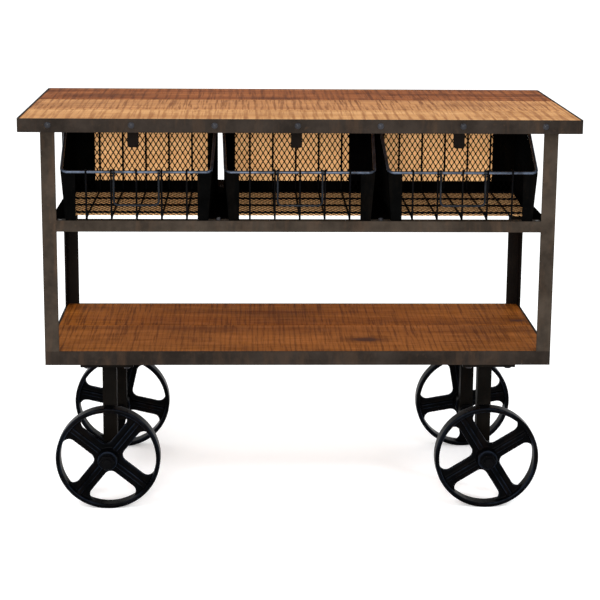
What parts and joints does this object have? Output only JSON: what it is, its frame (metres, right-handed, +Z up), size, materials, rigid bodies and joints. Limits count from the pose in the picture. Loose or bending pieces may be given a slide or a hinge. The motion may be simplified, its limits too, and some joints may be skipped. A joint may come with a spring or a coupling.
{
  "type": "kitchen island cart",
  "caption": "Industrial kitchen island cart: plank worktop and lower shelf in an angle-iron frame, sliding wire baskets, spoked iron wheels.",
  "frame": {"origin": "on the floor under the middle of the cart, the bottom centre of its bounding box", "axes": "+Z up, -Y towards the side the baskets pull out of, +X along the length, to the right of a person facing that side"},
  "size_m": [1.242, 0.598, 0.914],
  "materials": {
    "axle_steel": "dark steel",
    "fasteners": "dark steel",
    "basket_black": "black, semi-gloss",
    "handle_steel": "bare steel rod",
    "liner_wood": "thin light boards",
    "basket_mesh": "black expanded metal",
    "frame_iron": "dark brown-grey, lightly worn",
    "shelf_wood": "rough-sawn planks, waxed",
    "worktop_wood": "rough-sawn mango planks, oiled",
    "cast_iron": "black, satin",
    "black_iron": "black, lightly worn"
  },
  "bodies": {
    "cart_frame": {"axle_front_left": "axle_steel", "axle_front_right": "axle_steel", "axle_nuts": "axle_steel", "axle_rear_left": "axle_steel", "axle_rear_right": "axle_steel", "band_rivets": "fasteners", "basket_runner_left": "frame_iron", "basket_runner_right": "frame_iron", "basket_stop_bar": "frame_iron", "basket_stops": "frame_iron", "frame_bolts": "fasteners", "leg_front_left": "frame_iron", "leg_front_right": "frame_iron", "leg_rear_left": "frame_iron", "leg_rear_right": "frame_iron", "mid_rail_front": "frame_iron", "mid_rail_rear": "frame_iron", "outer_runner_left": "frame_iron", "outer_runner_right": "frame_iron", "shelf_plank_front": "shelf_wood", "shelf_plank_rear": "shelf_wood", "shelf_rail_front": "frame_iron", "shelf_rail_left": "frame_iron", "shelf_rail_rear": "frame_iron", "shelf_rail_right": "frame_iron", "top_band_front": "frame_iron", "top_band_left": "frame_iron", "top_band_rear": "frame_iron", "top_band_right": "frame_iron", "top_plank_front": "worktop_wood", "top_plank_middle": "worktop_wood", "top_plank_rear": "worktop_wood", "top_side_bar_left": "frame_iron", "top_side_bar_right": "frame_iron", "wheel_post_front_left": "black_iron", "wheel_post_front_right": "black_iron", "wheel_post_rear_left": "black_iron", "wheel_post_rear_right": "black_iron"},
    "basket_left": {"basket_left_front": "basket_black", "basket_left_frame": "basket_black", "basket_left_mesh": "basket_mesh", "basket_left_wires": "basket_black", "basket_left_liner": "liner_wood"},
    "handle_left": {"basket_left_handle": "handle_steel"},
    "basket_middle": {"basket_middle_front": "basket_black", "basket_middle_frame": "basket_black", "basket_middle_mesh": "basket_mesh", "basket_middle_wires": "basket_black", "basket_middle_liner": "liner_wood"},
    "handle_middle": {"basket_middle_handle": "handle_steel"},
    "basket_right": {"basket_right_front": "basket_black", "basket_right_frame": "basket_black", "basket_right_mesh": "basket_mesh", "basket_right_wires": "basket_black", "basket_right_liner": "liner_wood"},
    "handle_right": {"basket_right_handle": "handle_steel"},
    "wheel_front_left": {"wheel_front_left": "cast_iron"},
    "wheel_front_right": {"wheel_front_right": "cast_iron"},
    "wheel_rear_left": {"wheel_rear_left": "cast_iron"},
    "wheel_rear_right": {"wheel_rear_right": "cast_iron"}
  },
  "joints": [
    {"name": "basket_left_slide", "type": "slide", "parent": "cart_frame", "child": "basket_left", "axis": [0, -1, 0], "range_m": [0, 0.32]},
    {"name": "basket_middle_slide", "type": "slide", "parent": "cart_frame", "child": "basket_middle", "axis": [0, -1, 0], "range_m": [0, 0.32]},
    {"name": "basket_right_slide", "type": "slide", "parent": "cart_frame", "child": "basket_right", "axis": [0, -1, 0], "range_m": [0, 0.32]},
    {"name": "handle_left_swing", "type": "hinge", "parent": "basket_left", "child": "handle_left", "pos_m": [-0.365, -0.226, 0.786], "axis": [-1, 0, 0], "range_deg": [0, 120]},
    {"name": "handle_middle_swing", "type": "hinge", "parent": "basket_middle", "child": "handle_middle", "pos_m": [0, -0.226, 0.786], "axis": [-1, 0, 0], "range_deg": [0, 120]},
    {"name": "handle_right_swing", "type": "hinge", "parent": "basket_right", "child": "handle_right", "pos_m": [0.365, -0.226, 0.786], "axis": [-1, 0, 0], "range_deg": [0, 120]},
    {"name": "wheel_front_left_spin", "type": "hinge", "parent": "cart_frame", "child": "wheel_front_left", "pos_m": [-0.437, -0.222, 0.12], "axis": [0, 1, 0], "continuous": true},
    {"name": "wheel_front_right_spin", "type": "hinge", "parent": "cart_frame", "child": "wheel_front_right", "pos_m": [0.437, -0.222, 0.12], "axis": [0, 1, 0], "continuous": true},
    {"name": "wheel_rear_left_spin", "type": "hinge", "parent": "cart_frame", "child": "wheel_rear_left", "pos_m": [-0.437, 0.222, 0.12], "axis": [0, 1, 0], "continuous": true},
    {"name": "wheel_rear_right_spin", "type": "hinge", "parent": "cart_frame", "child": "wheel_rear_right", "pos_m": [0.437, 0.222, 0.12], "axis": [0, 1, 0], "continuous": true}
  ]
}
